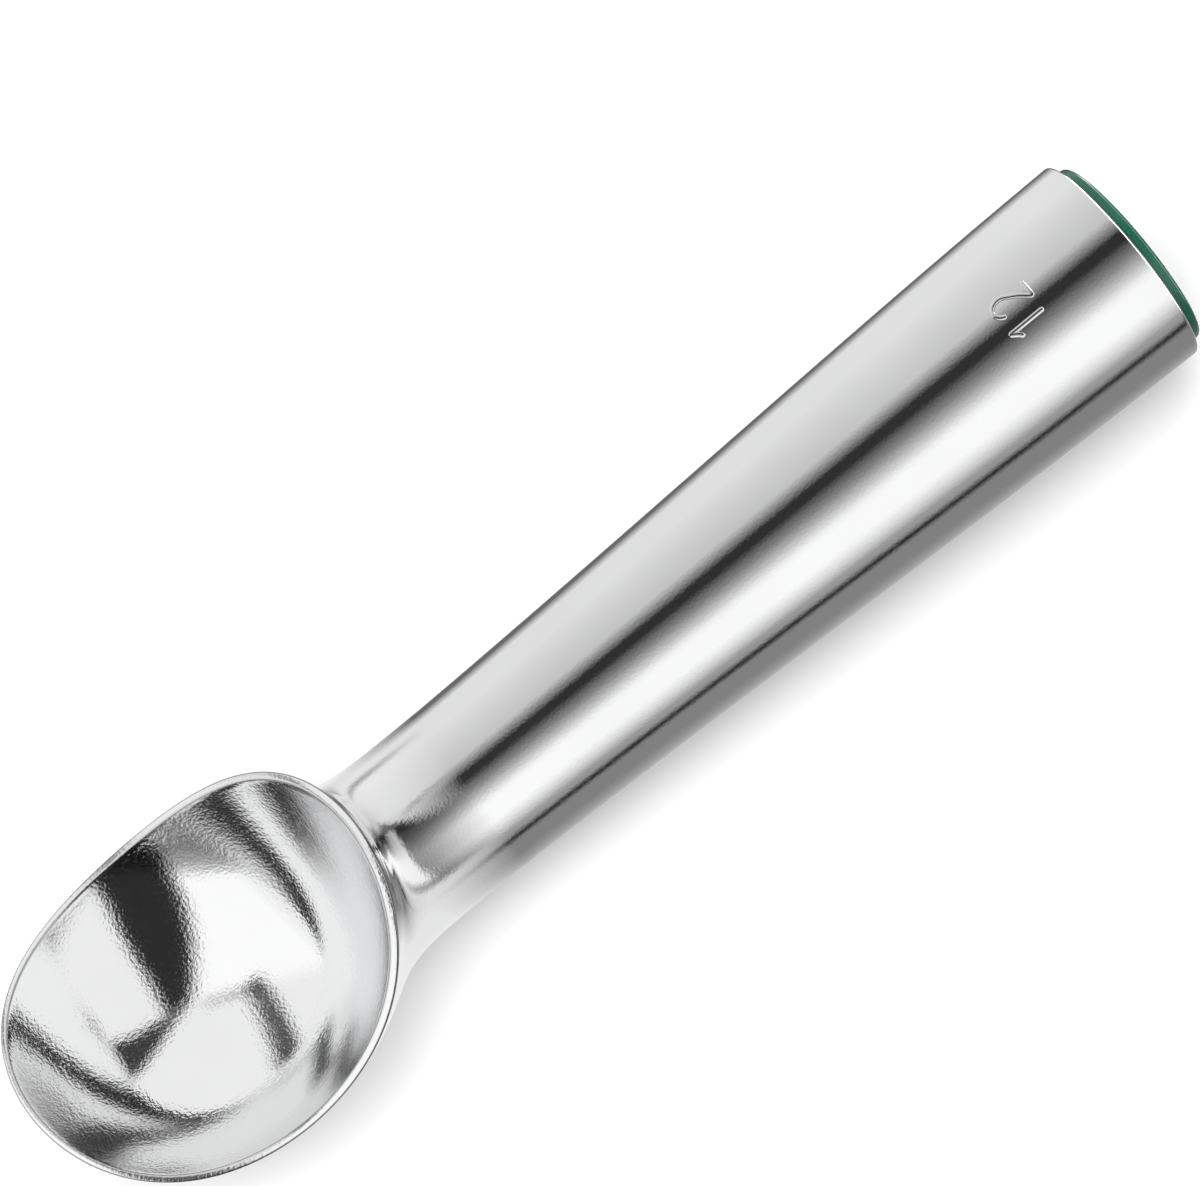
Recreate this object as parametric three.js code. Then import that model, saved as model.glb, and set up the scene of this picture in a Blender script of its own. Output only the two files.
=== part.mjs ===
import * as THREE from 'three';

// A one-piece cast scoop with a liquid-filled handle. Millimetres, +X from the bowl to the capped end,
// +Z out of the bowl's mouth. Shapes are drawn with x = 0 at the metal end face and z = 0 on the handle's
// axis, then tilted so that the bowl and the handle's end lie on one floor, and moved so that the origin is
// the middle of the footprint.

// handle
const handleEndRadius = 15.4;
const neckRadius = 11.9;
const neckDistance = 118.0;
const handleStraightShare = 0.4;
const endEdgeRound = 0.5;

// bowl: plan of the inner rim, its height above the handle's axis, and its depth
const bowlDistance = 149.9;
const bowlHalfLength = 26.9;
const bowlHalfWidth = 22.2;
const bowlEndFullness = 0.14;
const rimSideHeight = 3.5;
const rimTipRise = 6.95;
const rimBackRise = 12.45;
const bowlFloorDrop = 9.0;
const bowlFloorThickness = 3.0;
const bowlWallFullness = 0.22;
const outerWallFullness = 0.3;
const outerWallFullnessAtBack = 0.95;
const outerFullnessReach = 0.8;
const rimLandWidth = 1.0;
const rimLandWiderAtBack = 0.16;
const rimLandDrop = 0.15;

// neck: the rounding between bowl and handle, and the line about which its sections turn
const neckFillet = 8.5;
const filletBelowRim = 4.0;
const filletAboveFloor = 8.0;
const handleRootDistance = 146.0;
const turnDistance = 109.0;
const turnHeight = 21.0;
const bowlSpineReach = 40.0;

// hollow of the handle
const capSeatRadius = 14.2;
const capSeatDepth = 1.2;
const boreRadius = 12.0;
const boreLength = 22.0;
const hollowWall = 3.6;
const hollowStart = 24.0;
const hollowEnd = 117.0;
const hollowEndRound = 8.0;

// end cap, seal plug and its rings
const pieceClearance = 0.3;
const capProud = 1.6;
const capEdgeRound = 0.6;
const capStemLength = 6.0;
const plugLength = 12.0;
const ringSection = 1.96;
const ringSpacing = 5.0;

// mesh fineness
const aroundSteps = 56;
const bowlRings = 12;
const neckRings = 14;
const handleRings = 12;

const bowlInsideFloor = -bowlFloorDrop;
const bowlFloor = bowlInsideFloor - bowlFloorThickness;
function handleRadius(x) {
  const t = Math.min((neckDistance + x) / neckDistance, 1);
  const share = handleStraightShare * t + (1 - handleStraightShare) * t * t * (3 - 2 * t);
  return neckRadius + (handleEndRadius - neckRadius) * share;
}

// lying on a floor: the bowl's lowest point and the handle's underside touch it
let restTilt = 0;
for (let i = 0; i <= handleRings; i += 1) {
  const x = -neckDistance * i / handleRings;
  restTilt = Math.max(restTilt, Math.atan2(handleRadius(x) + bowlFloor, bowlDistance + x));
}
const shiftZ = bowlDistance * Math.sin(restTilt) - bowlFloor * Math.cos(restTilt);
const tipReach = bowlDistance + bowlHalfLength + rimLandWidth - rimLandWiderAtBack;
const tipHeight = rimSideHeight + rimTipRise - rimLandDrop;
const capFaceRadius = capSeatRadius - pieceClearance - capEdgeRound;
const tipX = tipReach * Math.cos(restTilt) + tipHeight * Math.sin(restTilt);
const capX = capProud * Math.cos(restTilt) + capFaceRadius * Math.sin(restTilt);
const shiftX = (tipX - capX) / 2;

// share of the way to the tip (+1) or to the back (-1) of the bowl
function towardTip(x, halfLength) {
  return -(x + bowlDistance) / halfLength;
}

function rimHeight(x, halfLength) {
  const c = towardTip(x, halfLength);
  const mean = (rimTipRise + rimBackRise) / 2;
  const lean = (rimTipRise - rimBackRise) / 2;
  return rimSideHeight + lean * c + mean * c * c;
}

// half width of the bowl, fuller towards its two ends
function bowlWidth(c, halfWidth) {
  return halfWidth * (1 + bowlEndFullness * c * c);
}

// 0 in the middle of the bowl, 1 on its rim
function planShare(x, y, halfLength, halfWidth) {
  const c = towardTip(x, halfLength);
  return Math.hypot(c, y / bowlWidth(c, halfWidth));
}

function wallRise(k, fullness, power) {
  return (1 - fullness) * k * k + fullness * k ** power;
}

function eased(t) {
  const inside = Math.min(Math.max(t, 0), 1);
  return inside * inside * (3 - 2 * inside);
}

function innerHeight(x, y) {
  const k = planShare(x, y, bowlHalfLength, bowlHalfWidth);
  return bowlInsideFloor + (rimHeight(x, bowlHalfLength) - bowlInsideFloor) * wallRise(k, bowlWallFullness, 4);
}

// the outside is fuller than the inside, and fullest next to the neck
function outerHeight(x, y) {
  const land = rimLandWidth - rimLandWiderAtBack * towardTip(x, bowlHalfLength + rimLandWidth);
  const k = planShare(x, y, bowlHalfLength + land, bowlHalfWidth + land);
  const rim = rimHeight(x, bowlHalfLength + land) - rimLandDrop;
  const back = eased(-towardTip(x, bowlHalfLength + land) / outerFullnessReach);
  const fullness = outerWallFullness + (outerWallFullnessAtBack - outerWallFullness) * back;
  return bowlFloor + (rim - bowlFloor) * wallRise(k, fullness, 6);
}

// signed distances, negative inside
function bowlGap(x, y, z) {
  const h = 0.01;
  const base = outerHeight(x, y);
  const dx = (outerHeight(x + h, y) - outerHeight(x - h, y)) / (2 * h);
  const dy = (outerHeight(x, y + h) - outerHeight(x, y - h)) / (2 * h);
  return (base - z) / Math.sqrt(1 + dx * dx + dy * dy);
}

function handleGap(x, y, z) {
  const past = Math.min(x + handleRootDistance, 0);
  return Math.sqrt(past * past + y * y + z * z) - handleRadius(x);
}

// bowl and handle run into each other through a hollow rounding that dies out towards the rim and the floor
function bodyGap(x, y, z) {
  const a = bowlGap(x, y, z);
  const b = handleGap(x, y, z);
  const near = Math.max(neckFillet - Math.abs(a - b), 0) / neckFillet;
  const below = eased((rimHeight(x, bowlHalfLength + rimLandWidth) - z) / filletBelowRim);
  const above = eased((z - bowlFloor) / filletAboveFloor);
  return Math.min(a, b) - below * above * near * near * near * neckFillet / 6;
}

// a point of a section plane hinged on the turning line: angle 0 is level, a right angle is upright
function sectionPoint(angle, along, side) {
  const x = -turnDistance - along * Math.cos(angle);
  const z = turnHeight - along * Math.sin(angle);
  return [x, side, z];
}

function spineReach(angle) {
  const c = Math.cos(angle);
  return turnHeight + (bowlSpineReach - turnHeight) * c * c;
}

// the body's skin in a section plane, found from its spine outwards
function skinPoint(angle, turn) {
  const start = spineReach(angle);
  let inside = 0;
  let outside = 60;
  if (Math.cos(turn) < 0) {
    outside = Math.min(outside, start / -Math.cos(turn));
  }
  for (let i = 0; i < 40; i += 1) {
    const reach = (inside + outside) / 2;
    const p = sectionPoint(angle, start + reach * Math.cos(turn), reach * Math.sin(turn));
    if (bodyGap(p[0], p[1], p[2]) < 0) {
      inside = reach;
    } else {
      outside = reach;
    }
  }
  const reach = (inside + outside) / 2;
  return sectionPoint(angle, start + reach * Math.cos(turn), reach * Math.sin(turn));
}

// a point of the bowl's plan: turn 0 is towards the tip, a half turn towards the back
function planPoint(share, turn, land) {
  const c = share * Math.cos(turn);
  const s = share * Math.sin(turn);
  const width = land * (rimLandWidth - rimLandWiderAtBack * c);
  return [-bowlDistance - (bowlHalfLength + width) * c, bowlWidth(c, bowlHalfWidth + width) * s, width];
}

// half a step on, so that the underside is the flat of a facet and the scoop lies still on it
function evenTurn(i) {
  return 2 * Math.PI * (i + 0.5) / aroundSteps;
}

// closed skin from rings of equal count, with a single point at each end
function skin(first, rings, last) {
  const count = rings[0].length;
  const points = [first];
  for (const ring of rings) {
    points.push(...ring);
  }
  points.push(last);
  const faces = [];
  for (let i = 0; i < count; i += 1) {
    const j = (i + 1) % count;
    faces.push(0, 1 + i, 1 + j);
    for (let r = 0; r + 1 < rings.length; r += 1) {
      const a = 1 + r * count;
      const b = a + count;
      faces.push(a + i, b + i, b + j, a + i, b + j, a + j);
    }
    const z = 1 + (rings.length - 1) * count;
    faces.push(z + i, points.length - 1, z + j);
  }
  let volume = 0;
  for (let f = 0; f < faces.length; f += 3) {
    const [a, b, c] = [points[faces[f]], points[faces[f + 1]], points[faces[f + 2]]];
    volume += a[0] * (b[1] * c[2] - b[2] * c[1]);
    volume += a[1] * (b[2] * c[0] - b[0] * c[2]);
    volume += a[2] * (b[0] * c[1] - b[1] * c[0]);
  }
  if (volume < 0) {
    for (let f = 0; f < faces.length; f += 3) {
      const keep = faces[f + 1];
      faces[f + 1] = faces[f + 2];
      faces[f + 2] = keep;
    }
  }
  const geometry = new THREE.BufferGeometry();
  geometry.setAttribute('position', new THREE.Float32BufferAttribute(points.flat(), 3));
  geometry.setIndex(faces);
  geometry.computeVertexNormals();
  return geometry;
}

// ring about the handle's axis, starting at its underside
function axisRing(x, radius) {
  const ring = [];
  for (let i = 0; i < aroundSteps; i += 1) {
    const turn = evenTurn(i);
    ring.push([x, radius * Math.sin(turn), -radius * Math.cos(turn)]);
  }
  return ring;
}

// solid of revolution about the handle's axis: the outline runs from axis to axis
function turned(outline) {
  const rings = outline.map((p) => axisRing(p[0], p[1]));
  return skin([outline[0][0], 0, 0], rings, [outline[outline.length - 1][0], 0, 0]);
}

function hollowRadius(x) {
  return handleRadius(x) - hollowWall;
}

// outline of the handle's hollow from its mouth inwards, drawn smaller by the clearance
function hollowOutline(clearance) {
  const outline = [];
  const steps = 7;
  for (let i = 0; i <= steps; i += 1) {
    const x = -hollowStart - (hollowEnd - hollowEndRound - hollowStart) * i / steps;
    outline.push([x, hollowRadius(x) - clearance]);
  }
  const rootX = -hollowEnd + hollowEndRound;
  const root = hollowRadius(rootX) - clearance;
  for (let i = 1; i < 5; i += 1) {
    const bend = Math.PI / 2 * i / 5;
    outline.push([rootX - (hollowEndRound - clearance) * Math.sin(bend), root * Math.cos(bend)]);
  }
  return outline;
}

function bodyGeometry() {
  const rings = [];
  for (let r = 1; r <= bowlRings; r += 1) {
    const share = r / bowlRings;
    const ring = [];
    for (let i = 0; i < aroundSteps; i += 1) {
      const [x, y] = planPoint(share, evenTurn(i), 0);
      ring.push([x, y, innerHeight(x, y)]);
    }
    rings.push(ring);
  }
  const rim = [];
  const rimAngle = [];
  const rimTurn = [];
  for (let i = 0; i < aroundSteps; i += 1) {
    const [x, y, width] = planPoint(1, evenTurn(i), 1);
    const z = rimHeight(x, bowlHalfLength + width) - rimLandDrop;
    const angle = Math.atan2(turnHeight - z, -turnDistance - x);
    const along = Math.hypot(turnHeight - z, -turnDistance - x);
    rim.push([x, y, z]);
    rimAngle.push(angle);
    rimTurn.push(Math.atan2(y, along - spineReach(angle)));
  }
  rings.push(rim);
  for (let r = 1; r <= neckRings; r += 1) {
    const share = r / neckRings;
    const ring = [];
    for (let i = 0; i < aroundSteps; i += 1) {
      const even = evenTurn(i);
      const wrapped = even > Math.PI ? even - 2 * Math.PI : even;
      const angle = rimAngle[i] + (Math.PI / 2 - rimAngle[i]) * share;
      ring.push(skinPoint(angle, rimTurn[i] + (wrapped - rimTurn[i]) * share));
    }
    rings.push(ring);
  }
  for (let r = 1; r <= handleRings; r += 1) {
    const x = -turnDistance + (turnDistance - endEdgeRound) * r / handleRings;
    rings.push(axisRing(x, handleRadius(x)));
  }
  const edgeStart = handleRadius(-endEdgeRound) - endEdgeRound;
  for (let i = 1; i <= 3; i += 1) {
    const bend = Math.PI / 2 * i / 3;
    const x = -endEdgeRound * (1 - Math.sin(bend));
    rings.push(axisRing(x, edgeStart + endEdgeRound * Math.cos(bend)));
  }
  rings.push(axisRing(0, capSeatRadius));
  rings.push(axisRing(-capSeatDepth, capSeatRadius));
  rings.push(axisRing(-capSeatDepth, boreRadius));
  rings.push(axisRing(-boreLength, boreRadius));
  for (const [x, radius] of hollowOutline(0)) {
    rings.push(axisRing(x, radius));
  }
  return skin([-bowlDistance, 0, bowlInsideFloor], rings, [-hollowEnd, 0, 0]);
}

const capSeat = -capSeatDepth + pieceClearance;
const stemEnd = -capSeatDepth - capStemLength;
const plugStart = stemEnd - pieceClearance;
const plugEnd = plugStart - plugLength;
const fluidStart = plugEnd - pieceClearance;
const sealRadius = boreRadius - pieceClearance;
const ringRadius = sealRadius - ringSection / 2;
const grooveRadius = ringRadius - ringSection / 2 - pieceClearance;
const grooveHalfWidth = ringSection / 2 + pieceClearance;
const plugMiddle = (plugStart + plugEnd) / 2;
const outerRingX = plugMiddle + ringSpacing / 2;
const innerRingX = plugMiddle - ringSpacing / 2;

function capGeometry() {
  const flange = capSeatRadius - pieceClearance;
  const outline = [[stemEnd, sealRadius], [capSeat, sealRadius], [capSeat, flange]];
  outline.push([capProud - capEdgeRound, flange]);
  for (let i = 1; i <= 4; i += 1) {
    const bend = Math.PI / 2 * i / 4;
    const x = capProud - capEdgeRound * (1 - Math.sin(bend));
    outline.push([x, flange - capEdgeRound * (1 - Math.cos(bend))]);
  }
  return turned(outline);
}

function plugGeometry() {
  const outline = [[plugEnd, sealRadius]];
  for (const x of [innerRingX, outerRingX]) {
    outline.push([x - grooveHalfWidth, sealRadius], [x - grooveHalfWidth, grooveRadius]);
    outline.push([x + grooveHalfWidth, grooveRadius], [x + grooveHalfWidth, sealRadius]);
  }
  outline.push([plugStart, sealRadius]);
  return turned(outline);
}

function fluidGeometry() {
  const outline = [[fluidStart, sealRadius], [-boreLength + pieceClearance, sealRadius]];
  for (const [x, radius] of hollowOutline(pieceClearance)) {
    outline.push([x, radius]);
  }
  const rings = outline.map((p) => axisRing(p[0], p[1]));
  return skin([fluidStart, 0, 0], rings, [-hollowEnd + pieceClearance, 0, 0]);
}

function ringGeometry(x) {
  const geometry = new THREE.TorusGeometry(ringRadius, ringSection / 2, 10, aroundSteps);
  geometry.rotateY(Math.PI / 2);
  geometry.translate(x, 0, 0);
  return geometry;
}

const group = new THREE.Group();
group.name = 'scoop';

function add(name, geometry, color, roughness, metalness) {
  geometry.rotateY(-restTilt);
  geometry.translate(shiftX, 0, shiftZ);
  const material = new THREE.MeshStandardMaterial({ color, roughness, metalness });
  const mesh = new THREE.Mesh(geometry, material);
  mesh.name = name;
  group.add(mesh);
}

add('scoop_body', bodyGeometry(), 0xd3d5d8, 0.2, 1.0);
add('heat_fluid', fluidGeometry(), 0x7fb8d0, 0.1, 0.0);
add('seal_plug', plugGeometry(), 0xb9bcc0, 0.4, 1.0);
add('inner_o_ring', ringGeometry(innerRingX), 0x1b1b1b, 0.7, 0.0);
add('outer_o_ring', ringGeometry(outerRingX), 0x1b1b1b, 0.7, 0.0);
add('end_cap', capGeometry(), 0x1f6b50, 0.35, 0.0);

export default group;
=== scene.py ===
import math

import bpy
import numpy as np
from mathutils import Matrix


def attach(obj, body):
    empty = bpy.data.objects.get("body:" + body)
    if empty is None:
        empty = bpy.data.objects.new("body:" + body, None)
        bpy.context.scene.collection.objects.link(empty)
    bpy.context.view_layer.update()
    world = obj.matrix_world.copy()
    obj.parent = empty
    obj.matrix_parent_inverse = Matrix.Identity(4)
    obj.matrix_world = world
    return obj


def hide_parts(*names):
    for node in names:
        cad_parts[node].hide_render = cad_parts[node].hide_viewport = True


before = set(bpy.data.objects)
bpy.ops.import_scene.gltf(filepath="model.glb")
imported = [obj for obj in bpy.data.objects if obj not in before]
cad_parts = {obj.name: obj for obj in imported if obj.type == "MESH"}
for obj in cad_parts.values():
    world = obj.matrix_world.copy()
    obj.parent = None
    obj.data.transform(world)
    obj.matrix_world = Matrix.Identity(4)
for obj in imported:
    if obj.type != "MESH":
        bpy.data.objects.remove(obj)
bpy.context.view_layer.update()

# drawing frame of the scoop: millimetres, x = 0 at the metal end face, z = 0 on the handle's axis
place = {"tilt": math.radians(1.3259), "shiftX": 87.962, "shiftZ": 15.4655, "metre": 0.001}


def tilted(points):
    # the bowl's end goes down until bowl and handle end lie on one floor
    c, s = math.cos(place["tilt"]), math.sin(place["tilt"])
    return points @ np.array([[c, 0.0, s], [0.0, 1.0, 0.0], [-s, 0.0, c]])


def toFrame(points):
    # drawing frame to the shared frame: tilt, shift, then millimetres to metres
    shift = np.array([place["shiftX"], 0.0, place["shiftZ"]])
    return (tilted(np.asarray(points)) + shift) * place["metre"]


# meshes
def closedSkin(name, rows, first, last, attributes=None):
    # rows of equal count, closed round, with one point at each end
    count, around = rows.shape[:2]
    points = np.concatenate([first[None], rows.reshape(-1, 3), last[None]])
    i = np.arange(around)
    j = (i + 1) % around
    r = np.arange(count - 1)[:, None] * around + 1
    quads = np.stack([r + i, r + j, r + j + around, r + i + around], axis=-1).reshape(-1, 4)
    end = 1 + (count - 1) * around
    cap0 = np.stack([np.zeros_like(i), j + 1, i + 1], axis=-1)
    cap1 = np.stack([np.full_like(i, len(points) - 1), end + i, end + j], axis=-1)
    tri = np.concatenate([quads[:, [0, 1, 2]], quads[:, [0, 2, 3]], cap0, cap1])
    a, b, c = points[tri[:, 0]], points[tri[:, 1]], points[tri[:, 2]]
    if np.einsum("ij,ij->i", a, np.cross(b, c)).sum() < 0:
        quads, cap0, cap1 = quads[:, ::-1], cap0[:, ::-1], cap1[:, ::-1]
    loops = np.concatenate([quads.ravel(), cap0.ravel(), cap1.ravel()]).astype(np.int32)
    starts = np.concatenate([np.arange(len(quads)) * 4, len(quads) * 4 + np.arange(2 * around) * 3])
    mesh = bpy.data.meshes.new(name)
    mesh.vertices.add(len(points))
    mesh.vertices.foreach_set("co", toFrame(points).astype(np.float32).ravel())
    mesh.loops.add(len(loops))
    mesh.loops.foreach_set("vertex_index", loops)
    mesh.polygons.add(len(starts))
    mesh.polygons.foreach_set("loop_start", starts.astype(np.int32))
    mesh.polygons.foreach_set("use_smooth", np.ones(len(starts), bool))
    mesh.update(calc_edges=True)
    for key, grid in (attributes or {}).items():
        values = np.concatenate([[grid[0].mean()], grid.ravel(), [grid[-1].mean()]])
        mesh.attributes.new(key, "FLOAT", "POINT").data.foreach_set("value", values.astype(np.float32))
    piece = bpy.data.objects.new(name, mesh)
    bpy.context.scene.collection.objects.link(piece)
    return piece


def smooth(t):
    # 3t^2 - 2t^3 between 0 and 1
    t = np.clip(t, 0.0, 1.0)
    return t * t * (3.0 - 2.0 * t)


# casting: bowl, neck and hollow handle in one skin
casting = {
    "handleEndRadius": 15.36, "neckRadius": 11.9, "neckDistance": 118.0, "straightShare": 0.4,
    "endEdgeRound": 0.5,
    "bowlDistance": 149.9, "halfLength": 26.9, "halfWidth": 22.2, "endFullness": 0.14,
    "rimSideHeight": 3.5, "rimTipRise": 6.95, "rimBackRise": 12.45,
    "floorDrop": 9.0, "floorThickness": 2.97, "wallFullness": 0.22,
    "outerFullness": 0.3, "outerFullnessAtBack": 0.95, "outerFullnessReach": 0.8,
    "landWidth": 1.0, "landWiderAtBack": 0.16, "landDrop": 0.15, "rimRound": 0.32,
    "neckFillet": 8.5, "filletBelowRim": 4.0, "filletAboveFloor": 8.0, "rootDistance": 146.0,
    "turnDistance": 109.0, "turnHeight": 21.0, "spineReach": 40.0, "rayReach": 60.0, "halvings": 44,
    "seatRadius": 14.2, "seatDepth": 1.2, "boreRadius": 12.0, "boreLength": 22.0,
    "seatEdgeFrom": 0.02, "seatEdgeTo": 0.08, "seatEdgeWidth": 0.05,
    "hollowWall": 3.6, "hollowStart": 24.0, "hollowEnd": 117.0, "hollowEndRound": 8.0,
    "around": 288, "bowlRows": 84, "neckRows": 96, "handleRows": 56,
    "edgeRows": 6, "lipRows": 11, "hollowRows": 10, "rootRows": 8,
    # strengths of the painted dark reflection lines along the rim's inner and outer edges
    "reflectLineInside": 0.7, "reflectLineOutside": 2.0,
}
floorIn = -casting["floorDrop"]
floorOut = floorIn - casting["floorThickness"]


def handleRadius(x):
    # neck radius plus a share that runs straight and eased from the neck (t = 0) to the end face (t = 1)
    t = np.minimum((casting["neckDistance"] + x) / casting["neckDistance"], 1.0)
    share = casting["straightShare"] * t + (1.0 - casting["straightShare"]) * t * t * (3.0 - 2.0 * t)
    return casting["neckRadius"] + (casting["handleEndRadius"] - casting["neckRadius"]) * share


def rimHeight(c):
    # saddle: a parabola along the bowl, +1 at the tip and -1 at the back
    mean = (casting["rimTipRise"] + casting["rimBackRise"]) / 2
    lean = (casting["rimTipRise"] - casting["rimBackRise"]) / 2
    return casting["rimSideHeight"] + lean * c + mean * c * c


def wallRise(k, fullness, power):
    # share of the height, k of the way from the middle to the rim: a square law, fuller by a higher power
    return (1.0 - fullness) * k ** 2 + fullness * k ** power


def bowlInside(c, s):
    # unit disc (c, s) to the bowl's inner skin: plan stretched to the bowl, height from floor to rim
    x = -casting["bowlDistance"] - casting["halfLength"] * c
    y = casting["halfWidth"] * (1.0 + casting["endFullness"] * c * c) * s
    z = floorIn + (rimHeight(c) - floorIn) * wallRise(np.hypot(c, s), casting["wallFullness"], 4)
    return np.stack([x, y, z], axis=-1)


def outerHeight(x, y):
    # the outside is fuller than the inside, and fullest next to the neck
    c0 = -(x + casting["bowlDistance"]) / (casting["halfLength"] + casting["landWidth"])
    land = casting["landWidth"] - casting["landWiderAtBack"] * c0
    c = -(x + casting["bowlDistance"]) / (casting["halfLength"] + land)
    s = y / ((casting["halfWidth"] + land) * (1.0 + casting["endFullness"] * c * c))
    back = smooth(-c / casting["outerFullnessReach"])
    full = casting["outerFullness"] + (casting["outerFullnessAtBack"] - casting["outerFullness"]) * back
    return floorOut + (rimHeight(c) - casting["landDrop"] - floorOut) * wallRise(np.hypot(c, s), full, 6)


def bodyGap(p):
    # signed distance: the lesser of bowl and handle, less a cubic rounding
    # that dies out towards rim and floor
    x, y, z = p[..., 0], p[..., 1], p[..., 2]
    h = 0.01
    dx = (outerHeight(x + h, y) - outerHeight(x - h, y)) / (2 * h)
    dy = (outerHeight(x, y + h) - outerHeight(x, y - h)) / (2 * h)
    bowl = (outerHeight(x, y) - z) / np.sqrt(1.0 + dx * dx + dy * dy)
    past = np.minimum(x + casting["rootDistance"], 0.0)
    handle = np.sqrt(past * past + y * y + z * z) - handleRadius(x)
    near = np.maximum(casting["neckFillet"] - np.abs(bowl - handle), 0.0) / casting["neckFillet"]
    c = -(x + casting["bowlDistance"]) / (casting["halfLength"] + casting["landWidth"])
    below = smooth((rimHeight(c) - z) / casting["filletBelowRim"])
    above = smooth((z - floorOut) / casting["filletAboveFloor"])
    return np.minimum(bowl, handle) - below * above * near ** 3 * casting["neckFillet"] / 6


def spine(angle):
    # distance from the hinge line to where a section's rays start:
    # the bowl's middle when level, the handle's axis when upright
    c = np.cos(angle)
    return casting["turnHeight"] + (casting["spineReach"] - casting["turnHeight"]) * c * c


def sectionPoint(angle, along, side):
    # section plane hinged on a level line above the neck: 0 is level, a right angle is upright
    x = -casting["turnDistance"] - along * np.cos(angle)
    z = casting["turnHeight"] - along * np.sin(angle)
    return np.stack([x, side + 0.0 * x, z], axis=-1)


def skinPoint(angle, turn):
    # ray from the section's spine to the skin, by halving
    start = spine(angle)
    inside = np.zeros_like(turn)
    back = np.cos(turn) < 0
    reachLimit = casting["rayReach"]
    toHinge = start / np.maximum(-np.cos(turn), 1e-6)
    outside = np.where(back, np.minimum(reachLimit, toHinge), reachLimit)
    for step in range(casting["halvings"]):
        reach = (inside + outside) / 2
        gap = bodyGap(sectionPoint(angle, start + reach * np.cos(turn), reach * np.sin(turn)))
        inside = np.where(gap < 0, reach, inside)
        outside = np.where(gap < 0, outside, reach)
    reach = (inside + outside) / 2
    return sectionPoint(angle, start + reach * np.cos(turn), reach * np.sin(turn))


def axisRings(xs, radii, turn):
    # rings about the handle's axis, starting at its underside
    x, r = np.asarray(xs)[:, None], np.asarray(radii)[:, None]
    return np.stack([x + 0 * turn, r * np.sin(turn), -r * np.cos(turn)], axis=-1)


def bendRows(a, corner, b, count):
    # quadratic curve from a to b that leans to the corner
    t = np.linspace(0.0, 1.0, count)[:, None, None]
    return (1 - t) ** 2 * a + 2 * t * (1 - t) * corner + t ** 2 * b


def arcOutline(x0, r0, radius, count, start, stop):
    # arc about (x0, r0) in the plane of axis and radius, angles from the radius towards +x
    bend = np.linspace(start, stop, count)
    return np.stack([x0 + radius * np.sin(bend), r0 + radius * np.cos(bend)], axis=-1)


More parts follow.
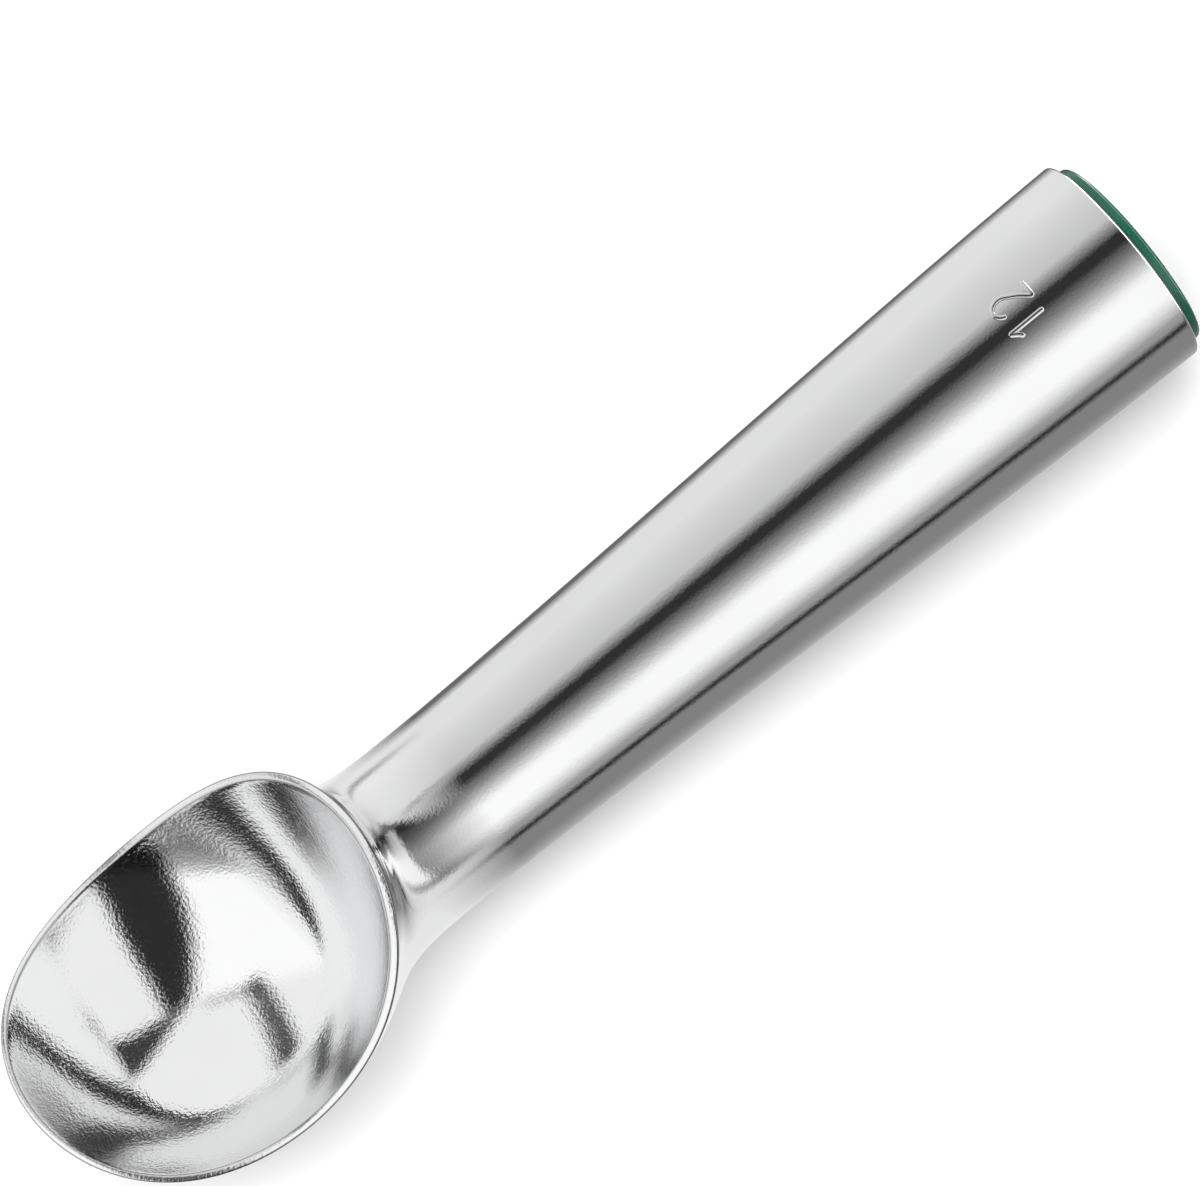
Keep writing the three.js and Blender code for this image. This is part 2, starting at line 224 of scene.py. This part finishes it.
def makeCasting():
    turn = -np.pi + 2 * np.pi * (np.arange(casting["around"]) + 0.5) / casting["around"]
    c, s = np.cos(turn), np.sin(turn)
    rimRound = casting["rimRound"]
    rimIn = bowlInside(c, s)
    bit = 0.001
    slope = (rimIn - bowlInside((1.0 - bit) * c, (1.0 - bit) * s)) / bit
    lastShare = 1.0 - rimRound / np.linalg.norm(slope, axis=-1)
    share = np.linspace(0.0, 1.0, casting["bowlRows"] + 1)[1:, None] * lastShare
    bowlRows = bowlInside(share * c, share * s)

    land = casting["landWidth"] - casting["landWiderAtBack"] * c
    x = -casting["bowlDistance"] - (casting["halfLength"] + land) * c
    y = (casting["halfWidth"] + land) * (1.0 + casting["endFullness"] * c * c) * s
    z = rimHeight(c) - casting["landDrop"]
    rimOut = np.stack([x, y, z], axis=-1)
    angle0 = np.arctan2(casting["turnHeight"] - z, -casting["turnDistance"] - x)
    along = np.hypot(casting["turnHeight"] - z, -casting["turnDistance"] - x)
    turn0 = np.arctan2(y, along - spine(angle0))

    def sock(v):
        # skin from the rim (v = 0) to the upright section where the handle starts (v = 1)
        angle = angle0 + (np.pi / 2 - angle0) * v
        return skinPoint(angle, turn0 + (turn - turn0) * v)

    firstStep = 0.01
    step = np.linalg.norm(sock(np.full_like(turn, firstStep)) - rimOut, axis=-1) / firstStep
    v0 = rimRound / step
    v = v0 + (1.0 - v0) * np.linspace(0.0, 1.0, casting["neckRows"])[:, None]
    neckRows = sock(v)

    across = rimOut - rimIn
    across /= np.linalg.norm(across, axis=-1)[:, None]
    edgeIn = bendRows(bowlRows[-1], rimIn, rimIn + rimRound * across, casting["edgeRows"])[1:]
    edgeOut = bendRows(rimOut - rimRound * across, rimOut, neckRows[0], casting["edgeRows"])[:-1]

    e = casting["endEdgeRound"]
    xs = np.linspace(-casting["turnDistance"], -e, casting["handleRows"])[1:]
    lip = arcOutline(-e, handleRadius(-e) - e, e, casting["lipRows"], 0.0, np.pi / 2)[1:]
    seat, bore = casting["seatRadius"], casting["boreRadius"]
    inner = [
        [-casting["seatEdgeFrom"], seat + casting["seatEdgeWidth"]], [-casting["seatEdgeTo"], seat],
        [-casting["seatDepth"], seat], [-casting["seatDepth"], bore], [-casting["boreLength"], bore],
    ]
    rootX = -casting["hollowEnd"] + casting["hollowEndRound"]
    hollowX = np.linspace(-casting["hollowStart"], rootX, casting["hollowRows"])
    hollow = np.stack([hollowX, handleRadius(hollowX) - casting["hollowWall"]], axis=-1)
    bend = np.linspace(0.0, np.pi / 2, casting["rootRows"])[1:-1]
    rootBend = [rootX - casting["hollowEndRound"] * np.sin(bend), hollow[-1, 1] * np.cos(bend)]
    root = np.stack(rootBend, axis=-1)
    outline = np.concatenate([np.stack([xs, handleRadius(xs)], axis=-1), lip, inner, hollow, root])
    handleRows = axisRings(outline[:, 0], outline[:, 1], turn)

    rows = np.concatenate([bowlRows, edgeIn, edgeOut, neckRows, handleRows])
    rowCount = [len(bowlRows), len(edgeIn) + len(edgeOut), len(neckRows), len(handleRows)]
    # shares for the finish: bowl's inside, rim, and the painted dark reflection lines along the rim's two
    # edges
    inBowl = np.repeat([1.0, 0.0, 0.0, 0.0], rowCount)[:, None] + 0.0 * turn
    onLand = np.repeat([0.0, 1.0, 0.0, 0.0], rowCount)[:, None] + 0.0 * turn
    rimReflectLine = np.zeros_like(onLand)
    middle = rowCount[0] + len(edgeIn)
    paintedLineIn = np.linspace(casting["reflectLineInside"], 0.0, len(edgeIn))
    paintedLineOut = np.linspace(0.0, casting["reflectLineOutside"], len(edgeOut)).clip(0.0, 1.0)
    rimReflectLine[rowCount[0]:middle] = paintedLineIn[:, None]
    rimReflectLine[middle:middle + len(edgeOut)] = paintedLineOut[:, None]
    first = np.array([-casting["bowlDistance"], 0.0, floorIn])
    last = np.array([-casting["hollowEnd"], 0.0, 0.0])
    shares = {"inBowl": inBowl, "onLand": onLand, "rimReflectLine": rimReflectLine}
    return closedSkin("scoop_casting", rows, first, last, shares)


scoopCasting = makeCasting()
print("casting", len(scoopCasting.data.polygons), "faces")

# end cap: turned plug with a proud disc
cap = {
    "clearance": 0.3, "proud": 1.59, "edgeRound": 0.6, "stemLength": 6.0,
    "stemChamfer": 0.3, "discChamfer": 0.1, "around": 256, "edgeRows": 9,
}


def makeCap():
    # outline turned about the handle's axis, from the stem's inner end to the middle of the face
    turn = -np.pi + 2 * np.pi * np.arange(cap["around"]) / cap["around"]
    stem = casting["boreRadius"] - cap["clearance"]
    disc = casting["seatRadius"] - cap["clearance"]
    seatX = -casting["seatDepth"] + cap["clearance"]
    stemX = -casting["seatDepth"] - cap["stemLength"]
    faceX, e = cap["proud"], cap["edgeRound"]
    edge = arcOutline(faceX - e, disc - e, e, cap["edgeRows"], 0.0, np.pi / 2)
    inner = [
        [stemX, stem * 0.5], [stemX, stem - cap["stemChamfer"]], [stemX + cap["stemChamfer"], stem],
        [seatX, stem], [seatX, disc - cap["discChamfer"]], [seatX + cap["discChamfer"], disc],
    ]
    face = [[faceX, disc * 0.9], [faceX, disc * 0.5]]
    outline = np.concatenate([inner, edge, face])
    rows = axisRings(outline[:, 0], outline[:, 1], turn)
    return closedSkin("scoop_end_cap", rows, np.array([stemX, 0.0, 0.0]), np.array([faceX, 0.0, 0.0]))


endCap = makeCap()
print("end cap", len(endCap.data.polygons), "faces")

# raised size number near the end, read from the capped end
mark = {
    "fromEnd": 16.6, "lean": 9.6, "height": 5.4, "width": 2.5, "gap": 1.1, "stroke": 0.36, "proud": 0.34,
    "sink": 0.2, "steps": 90, "around": 16, "endSwell": 0.02,
}


def figureOne():
    # short flag, then the upright, in a unit box
    flag = [[0.1, 0.74], [0.34, 0.84], [0.58, 1.0]]
    return np.array(flag + [[0.6, 0.98], [0.6, 0.6], [0.6, 0.3], [0.6, 0.0]])


def figureTwo():
    # arc over the top, slanting line down, then the foot
    bend = np.radians(np.linspace(170.0, -35.0, 18))
    arc = np.stack([0.5 + 0.5 * np.cos(bend), 0.72 + 0.28 * np.sin(bend)], axis=-1)
    return np.concatenate([arc, [[0.5, 0.27], [0.03, 0.03], [0.06, 0.0], [0.5, 0.0], [1.0, 0.0]]])


def strokeSkin(name, path):
    # the path cut to even steps, an egg-shaped section carried along it, wrapped round the handle
    step = np.linalg.norm(np.diff(path, axis=0), axis=1)
    along = np.concatenate([[0.0], np.cumsum(step)])
    even = np.linspace(0.0, along[-1], mark["steps"])
    flat = np.stack([np.interp(even, along, path[:, i]) for i in range(2)], axis=-1)
    way = np.gradient(flat, axis=0)
    way /= np.linalg.norm(way, axis=1)[:, None]
    turn = 2 * np.pi * np.arange(mark["around"]) / mark["around"]
    # round ends: the section shrinks along a quarter circle over the last half width
    toEnd = np.minimum(even, along[-1] - even) / mark["stroke"]
    swell = np.sqrt(np.clip(1.0 - (1.0 - np.minimum(toEnd, 1.0)) ** 2, mark["endSwell"], 1.0))[:, None]
    side = mark["stroke"] * swell * np.cos(turn)
    lift = np.where(np.sin(turn) > 0, mark["proud"], mark["sink"]) * np.sin(turn) * swell
    u = flat[:, :1] - way[:, 1:] * side
    v = flat[:, 1:] + way[:, :1] * side

    def onHandle(u, v, lift):
        # u round the handle, v along it towards the bowl, lift out of its skin
        x = -mark["fromEnd"] - v
        reach = handleRadius(x) + lift
        lean = math.radians(mark["lean"]) - u / handleRadius(x)
        return np.stack([x, -reach * np.sin(lean), reach * np.cos(lean)], axis=-1)

    first, last = onHandle(*flat[0], 0.0), onHandle(*flat[-1], 0.0)
    return closedSkin(name, onHandle(u, v, lift), first, last)


def makeMark():
    size = np.array([mark["width"], mark["height"]])
    half = mark["gap"] / 2
    one = figureOne() * size + [-half - mark["width"], -mark["height"] / 2]
    two = figureTwo() * size + [half, -mark["height"] / 2]
    return [strokeSkin("size_figure_one", one), strokeSkin("size_figure_two", two)]


sizeMark = makeMark()
print("size number", len(sizeMark), "figures")


# materials
class Wire:
    # one socket of a node tree: arithmetic on it adds Math nodes
    def __init__(self, tree, socket=None):
        self.tree = tree
        self.socket = socket

    def node(self, kind, settings=None, links=None, out=0):
        made = self.tree.nodes.new(kind)
        for key, value in (settings or {}).items():
            setattr(made, key, value)
        for key, value in (links or {}).items():
            if isinstance(value, Wire):
                self.tree.links.new(value.socket, made.inputs[key])
            else:
                made.inputs[key].default_value = value
        return Wire(self.tree, made.outputs[out] if made.outputs else None)

    def maths(self, operation, first, second=0.0):
        return self.node("ShaderNodeMath", {"operation": operation}, {0: first, 1: second})

    def __add__(self, other):
        return self.maths("ADD", self, other)

    def __radd__(self, other):
        return self.maths("ADD", other, self)

    def __sub__(self, other):
        return self.maths("SUBTRACT", self, other)

    def __rsub__(self, other):
        return self.maths("SUBTRACT", other, self)

    def __mul__(self, other):
        return self.maths("MULTIPLY", self, other)

    def __rmul__(self, other):
        return self.maths("MULTIPLY", other, self)

    def __truediv__(self, other):
        return self.maths("DIVIDE", self, other)

    def __rtruediv__(self, other):
        return self.maths("DIVIDE", other, self)

    def clipped(self):
        return self.node("ShaderNodeClamp", links={0: self})


def newFinish(name):
    # an empty material and a wire into its tree
    finish = bpy.data.materials.new(name)
    finish.use_nodes = True
    finish.node_tree.nodes.clear()
    return finish, Wire(finish.node_tree)


def spot(w, scale, detail=2.0, rough=0.5, stretch=(1.0, 1.0, 1.0)):
    # noise on the piece's own coordinates, scale in cycles to the metre
    where = w.node("ShaderNodeTexCoord", out="Object")
    where = w.node("ShaderNodeMapping", links={"Vector": where, "Scale": stretch})
    links = {"Vector": where, "Scale": scale, "Detail": detail, "Roughness": rough}
    return w.node("ShaderNodeTexNoise", links=links)


def blendColour(w, share, a, b):
    return w.node("ShaderNodeMix", {"data_type": "RGBA"}, {0: share, 6: a, 7: b}, out=2)


def bumped(w, height, strength=1.0):
    return w.node("ShaderNodeBump", links={"Height": height, "Strength": strength, "Distance": 1.0})


def closeFinish(w, colour, rough, normal, fixed):
    links = {"Base Color": colour, "Roughness": rough, "Normal": normal}
    links.update(fixed)
    shader = w.node("ShaderNodeBsdfPrincipled", links=links)
    w.node("ShaderNodeOutputMaterial", links={"Surface": shader})


polished = {
    "light": (0.90, 0.902, 0.905, 1), "dull": (0.82, 0.822, 0.826, 1),
    # the edge colour is a painted dark reflection line along the rim's rounded edges
    "edge": (0.08, 0.08, 0.085, 1), "reflectLineCover": 0.85,
    "cloud": 60.0, "rough": 0.055, "cloudRough": 0.05, "landRough": 0.12,
    "grain": 2500.0, "grainBowl": 2e-5, "grainHandle": 1.2e-5, "grainLand": 2e-5,
    "ripple": 800.0, "rippleBowl": 1e-5, "rippleHandle": 3e-6,
    "streak": 1500.0, "streakHeight": 1.5e-6, "streakStretch": (0.04, 1.0, 1.0),
    "pits": 3600.0, "pitsAbove": 0.6, "pitsOver": 0.1, "pitRough": 0.08,
}


def polishedFinish():
    finish, w = newFinish("polished_casting")
    inBowl = w.node("ShaderNodeAttribute", {"attribute_name": "inBowl"}, out="Fac")
    onLand = w.node("ShaderNodeAttribute", {"attribute_name": "onLand"}, out="Fac")
    rimReflectLine = w.node("ShaderNodeAttribute", {"attribute_name": "rimReflectLine"}, out="Fac")
    cloud = spot(w, polished["cloud"], 3.0)
    grain = spot(w, polished["grain"], 1.0)
    ripple = spot(w, polished["ripple"], 1.0)
    streak = spot(w, polished["streak"], 2.0, 0.6, polished["streakStretch"])
    colour = blendColour(w, cloud, polished["dull"], polished["light"])
    # painted reflection: dark lines laid into the metal's colour along the rim's edges
    colour = blendColour(w, rimReflectLine * polished["reflectLineCover"], colour, polished["edge"])
    rough = polished["rough"] + polished["cloudRough"] * cloud + polished["landRough"] * onLand
    # small matt pits in the bowl
    pits = ((spot(w, polished["pits"], 1.0) - polished["pitsAbove"]) / polished["pitsOver"]).clipped()
    rough = rough + polished["pitRough"] * pits * inBowl
    grainHeight = polished["grainHandle"] + (polished["grainBowl"] - polished["grainHandle"]) * inBowl
    grainHeight = grainHeight + polished["grainLand"] * onLand
    rippleHeight = polished["rippleHandle"] + (polished["rippleBowl"] - polished["rippleHandle"]) * inBowl
    height = grain * grainHeight + ripple * rippleHeight
    height = height + streak * polished["streakHeight"] * (1.0 - inBowl)
    closeFinish(w, colour, rough, bumped(w, height), {"Metallic": 1.0})
    return finish


moulded = {
    "base": (0.006, 0.092, 0.054, 1), "dark": (0.004, 0.072, 0.042, 1), "cloud": 180.0,
    # the near-black colour is painted contact shade where the cap's side meets the metal end face
    "darkGapLine": (0.002, 0.012, 0.008, 1), "gapShadeFrom": 0.1, "gapShadeOver": 0.2,
    "rough": 0.16, "cloudRough": 0.1, "grain": 5200.0, "grainHeight": 3e-6, "ior": 1.5,
}


def mouldedFinish():
    finish, w = newFinish("moulded_green")
    cloud = spot(w, moulded["cloud"], 3.0)
    grain = spot(w, moulded["grain"], 2.0)
    where = w.node("ShaderNodeTexCoord", out="Object")
    x, z = [w.node("ShaderNodeSeparateXYZ", links={0: where}, out=axis) for axis in "XZ"]
    # distance out of the end face along the handle's axis, mm
    out = (x / place["metre"] - place["shiftX"]) * math.cos(place["tilt"])
    out = out + (z / place["metre"] - place["shiftZ"]) * math.sin(place["tilt"])
    colour = blendColour(w, cloud, moulded["dark"], moulded["base"])
    # painted contact shade: the cap's side is near black up to 0.1 mm out of the end face and clears over
    # the next 0.2 mm
    clear = ((out - moulded["gapShadeFrom"]) / moulded["gapShadeOver"]).clipped()
    colour = blendColour(w, clear, moulded["darkGapLine"], colour)
    rough = moulded["rough"] + moulded["cloudRough"] * cloud
    closeFinish(w, colour, rough, bumped(w, grain * moulded["grainHeight"]), {"IOR": moulded["ior"]})
    return finish


# one noise drives colour, roughness and bump of each hidden piece
machined = {
    "name": "machined_plug", "scale": 4000.0, "detail": 2.0, "spread": 0.6, "stretch": (1.0, 0.05, 0.05),
    "dark": (0.62, 0.62, 0.63, 1), "light": (0.74, 0.74, 0.75, 1), "height": 4e-6,
    "rough": 0.25, "roughMore": 0.15, "fixed": {"Metallic": 1.0},
}
rubber = {
    "name": "seal_rubber", "scale": 700.0, "detail": 4.0, "spread": 0.5, "stretch": (1.0, 1.0, 1.0),
    "dark": (0.010, 0.010, 0.011, 1), "light": (0.022, 0.022, 0.023, 1), "height": 1e-5,
    "rough": 0.55, "roughMore": 0.2, "fixed": {"IOR": 1.52},
}
liquid = {
    "name": "heat_liquid", "scale": 90.0, "detail": 3.0, "spread": 0.5, "stretch": (1.0, 1.0, 1.0),
    "dark": (0.30, 0.52, 0.62, 1), "light": (0.42, 0.62, 0.70, 1), "height": 2e-5,
    "rough": 0.05, "roughMore": 0.04, "fixed": {"IOR": 1.38},
}


def plainFinish(look):
    finish, w = newFinish(look["name"])
    noise = spot(w, look["scale"], look["detail"], look["spread"], look["stretch"])
    colour = blendColour(w, noise, look["dark"], look["light"])
    rough = look["rough"] + look["roughMore"] * noise
    closeFinish(w, colour, rough, bumped(w, noise * look["height"]), look["fixed"])
    return finish


def dress(piece, finish):
    piece.data.materials.clear()
    piece.data.materials.append(finish)


polishedMetal = polishedFinish()
for piece in [scoopCasting] + sizeMark:
    dress(piece, polishedMetal)
    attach(piece, "root")
dress(endCap, mouldedFinish())
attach(endCap, "root")
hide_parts("scoop_body")
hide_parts("end_cap")
seal = plainFinish(rubber)
hidden = {
    "seal_plug": plainFinish(machined), "inner_o_ring": seal, "outer_o_ring": seal,
    "heat_fluid": plainFinish(liquid),
}
for nodeName, finish in hidden.items():
    dress(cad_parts[nodeName], finish)
print("finishes set")

# floor, light and camera
studio = {
    "floorHalf": 3.0, "floorDark": (0.84, 0.84, 0.84, 1), "floorLight": (0.88, 0.88, 0.88, 1),
    "floorCloud": 8.0, "floorRough": 0.7, "floorCloudRough": 0.1, "floorHeight": 1e-4,
    "floorBump": 0.2, "floorIor": 1.4,
    "fillPower": 55.0, "fillSize": 2.4, "fillAt": (0.0, -0.4, 2.2), "fillLook": (0.0, 0.0, 0.0),
}


def makeFloor():
    mesh = bpy.data.meshes.new("studio_floor")
    h = studio["floorHalf"]
    mesh.from_pydata([(-h, -h, 0), (h, -h, 0), (h, h, 0), (-h, h, 0)], [], [(0, 1, 2, 3)])
    floor = bpy.data.objects.new("studio_floor", mesh)
    bpy.context.scene.collection.objects.link(floor)
    finish, w = newFinish("pale_floor")
    cloud = spot(w, studio["floorCloud"], 3.0)
    colour = blendColour(w, cloud, studio["floorDark"], studio["floorLight"])
    rough = studio["floorRough"] + studio["floorCloudRough"] * cloud
    normal = bumped(w, cloud * studio["floorHeight"], studio["floorBump"])
    closeFinish(w, colour, rough, normal, {"IOR": studio["floorIor"]})
    dress(floor, finish)
    floor.visible_glossy = False


makeFloor()

# diffusion tent round the handle, seen only in its gloss: a plain wall with soft-edged strips, each
# at an angle from straight up towards -y, with half its width, its soft edges before and after, and
# its level; angles in degrees, lengths in mm
tent = {
    "radius": 22.0, "from": -121.0, "mouthSoft": 12.0, "to": 70.0, "around": 96, "level": 0.6,
    "endHole": 0.1,
    "strips": {
        "backBox": {"at": -60, "half": 15, "soft": (20, 45), "level": 0.85},
        "backFlag": {"at": -100, "half": 5, "soft": (70, 20), "level": 0.15},
        "sideShade": {"at": 100, "half": 12, "soft": (30, 60), "level": 0.25},
        "topBox": {"at": 50, "half": 8, "soft": (20, 18), "level": 1.1},
        "topFlag": {"at": 10, "half": 3, "soft": (12, 25), "level": 0.03},
        "darkGapLine": {"at": 87, "half": 0.5, "soft": (5, 5), "level": 0.03},
    },
    "capLight": 7.0, "capLightFrom": 9.0, "capLightTo": 19.0, "capLightOver": 4.0,
    "upperHalf": 95.0, "upperSoft": 10.0,
}

# softbox dome seen by the bowl: gaps between the boxes as soft-edged strips in a map of the sky, in degrees
# from straight up, x towards the cap and y across; each side is a point and the way that its gap lies
dome = {
    "level": 0.97, "skyline": 0.3, "dimFrom": 78.0, "dimOver": 8.0,
    "under": 0.9, "underFrom": 88.0, "underOver": 8.0,
    "gaps": [
        {"keep": 0.028, "soft": 3.5,
         "sides": [(4, -4, -30.5), (20, -5, 176), (17, -50, 159), (10, 0, -90)]},
        {"keep": 0.05, "soft": 3.0, "sides": [(10, -2, 90), (12, 1, -62), (9, 0, 0), (61, 0, 180)]},
        {"keep": 0.1, "soft": 3.0, "sides": [(-21, 30, 0), (-11, 30, 176), (-16, 12, 90), (-10, 72, -90)]},
        {"keep": 0.5, "soft": 2.0, "sides": [(-16, 14.5, 60), (-16, 19, -120), (-20, 0, 0), (3, 0, 180)]},
        {"keep": 0.35, "soft": 4.0, "sides": [(-42, -57, -128)]},
    ],
    "boxes": [
        {"gain": 0.15, "soft": 5.0, "sides": [(5, 0, 150), (5, 0, -126), (-60, 0, 0)]},
    ],
}


def tentLevel(w, angle):
    # each strip is laid over the wall and the strips before it
    bright = tent["level"]
    for strip in tent["strips"].values():
        before = (angle - (strip["at"] - strip["half"] - strip["soft"][0])) / strip["soft"][0]
        after = ((strip["at"] + strip["half"] + strip["soft"][1]) - angle) / strip["soft"][1]
        cover = w.maths("MINIMUM", before, after).clipped()
        bright = bright + (strip["level"] - bright) * cover
    return bright


def makeDome():
    world = bpy.data.worlds.new("studio_dome")
    bpy.context.scene.world = world
    world.use_nodes = True
    world.node_tree.nodes.clear()
    w = Wire(world.node_tree)
    ray = w.node("ShaderNodeTexCoord", out="Generated")
    x, y, z = [w.node("ShaderNodeSeparateXYZ", links={0: ray}, out=axis) for axis in "XYZ"]
    fromTop = w.maths("ARCCOSINE", z) * math.degrees(1.0)
    level = w.maths("SQRT", x * x + y * y + 1e-9)
    mapX = fromTop * x / level
    mapY = fromTop * y / level

    def within(area):
        # product of one soft step for each side
        inside = 1.0
        for atX, atY, way in area["sides"]:
            c, s = math.cos(math.radians(way)), math.sin(math.radians(way))
            past = mapX * c + mapY * s - (atX * c + atY * s)
            inside = (past / (2 * area["soft"]) + 0.5).clipped() * inside
        return inside

    bright = dome["level"]
    for box in dome["boxes"]:
        bright = bright + box["gain"] * within(box)
    for gap in dome["gaps"]:
        bright = bright * (1.0 - (1.0 - gap["keep"]) * within(gap))
    dim = ((fromTop - dome["dimFrom"]) / dome["dimOver"]).clipped()
    bright = bright * (1.0 - (1.0 - dome["skyline"]) * dim)
    below = ((fromTop - dome["underFrom"]) / dome["underOver"]).clipped()
    bright = bright * (1.0 - below) + dome["under"] * below
    glow = w.node("ShaderNodeBackground", links={"Color": bright, "Strength": 1.0})
    w.node("ShaderNodeOutputWorld", links={"Surface": glow})


makeDome()


def glossOnly(piece):
    # seen in reflections alone
    piece.visible_camera = False
    piece.visible_diffuse = False
    piece.visible_shadow = False
    piece.visible_transmission = False


def tubeMesh(name, xs, radii):
    # open tube about the handle's axis: turn from the underside, outline along x
    turn = np.linspace(-np.pi, np.pi, tent["around"] + 1)
    rows = axisRings(xs, radii, turn)
    ring = tent["around"] + 1
    i = (np.arange(len(xs) - 1)[:, None] * ring + np.arange(tent["around"])).ravel()
    faces = np.stack([i, i + 1, i + 1 + ring, i + ring], axis=-1)
    mesh = bpy.data.meshes.new(name)
    mesh.from_pydata(toFrame(rows.reshape(-1, 3)).tolist(), [], faces.tolist())
    tube = bpy.data.objects.new(name, mesh)
    bpy.context.scene.collection.objects.link(tube)
    glossOnly(tube)
    return tube


def makeTent():
    finish, w = newFinish("tent_glow")
    metre = place["metre"]
    where = w.node("ShaderNodeTexCoord", out="Object")
    x, y, z = [w.node("ShaderNodeSeparateXYZ", links={0: where}, out=axis) for axis in "XYZ"]
    pastEnd = x - place["shiftX"] * metre
    up = z - place["shiftZ"] * metre - pastEnd * math.tan(place["tilt"])
    angle = w.maths("ARCTAN2", 0.0 - y, up) * math.degrees(1.0)
    # light for the cap's rounded edge: a ring in the tent's upper half past the end
    start = ((pastEnd / metre - tent["capLightFrom"]) / tent["capLightOver"]).clipped()
    stop = ((tent["capLightTo"] - pastEnd / metre) / tent["capLightOver"]).clipped()
    upper = ((tent["upperHalf"] - w.maths("ABSOLUTE", angle)) / tent["upperSoft"]).clipped()
    bright = tentLevel(w, angle) + start * stop * upper * tent["capLight"]
    glow = w.node("ShaderNodeEmission", links={"Color": bright, "Strength": 1.0})
    # the cloth thins out towards the mouth at the neck, so its edge isn't mirrored as a line
    cloth = ((pastEnd / metre - tent["from"]) / tent["mouthSoft"]).clipped()
    clear = w.node("ShaderNodeBsdfTransparent")
    glow = w.node("ShaderNodeMixShader", links={0: cloth, 1: clear, 2: glow})
    w.node("ShaderNodeOutputMaterial", links={"Surface": glow})
    xs = [tent["from"], tent["to"], tent["to"] + tent["endHole"]]
    radii = [tent["radius"], tent["radius"], tent["endHole"]]
    dress(tubeMesh("handle_tent", xs, radii), finish)


makeTent()


def aimed(at, back, level):
    # place and turn of a lamp or camera that looks against back, with level squared up to it
    back = back / np.linalg.norm(back)
    right = level - back * (level @ back)
    right = right / np.linalg.norm(right)
    up = np.cross(back, right)
    return Matrix([[right[i], up[i], back[i], at[i]] for i in range(3)] + [[0, 0, 0, 1]])


def makeFill():
    light = bpy.data.lights.new("floor_fill", "AREA")
    light.shape = "RECTANGLE"
    light.size = studio["fillSize"]
    light.size_y = studio["fillSize"]
    light.energy = studio["fillPower"]
    lamp = bpy.data.objects.new("floor_fill", light)
    bpy.context.scene.collection.objects.link(lamp)
    back = np.subtract(studio["fillAt"], studio["fillLook"])
    lamp.matrix_world = aimed(studio["fillAt"], back, np.array([1.0, 0.0, 0.0]))
    lamp.visible_glossy = False


makeFill()

# the photograph's view: place, line of sight and the picture's level direction in the drawing frame,
# and the focal length in pixels of a picture of that width
shot = {
    "at": (-86.8, -195.4, 503.6), "look": (0.0132, 0.3773, -0.926), "level": (0.7763, -0.5876, -0.2283),
    "pixels": 4181.6, "pictureWidth": 1200.0, "sensor": 36.0, "near": 0.01, "far": 50.0,
}


def makeCamera():
    lens = bpy.data.cameras.new("shot_camera")
    lens.sensor_fit = "HORIZONTAL"
    lens.sensor_width = shot["sensor"]
    lens.lens = shot["sensor"] * shot["pixels"] / shot["pictureWidth"]
    lens.clip_start = shot["near"]
    lens.clip_end = shot["far"]
    camera = bpy.data.objects.new("shot_camera", lens)
    bpy.context.scene.collection.objects.link(camera)
    back = -tilted(np.array(shot["look"]))
    camera.matrix_world = aimed(toFrame(shot["at"]), back, tilted(np.array(shot["level"])))
    bpy.context.scene.camera = camera


makeCamera()
bpy.context.scene.view_settings.view_transform = "Standard"
print("studio set")
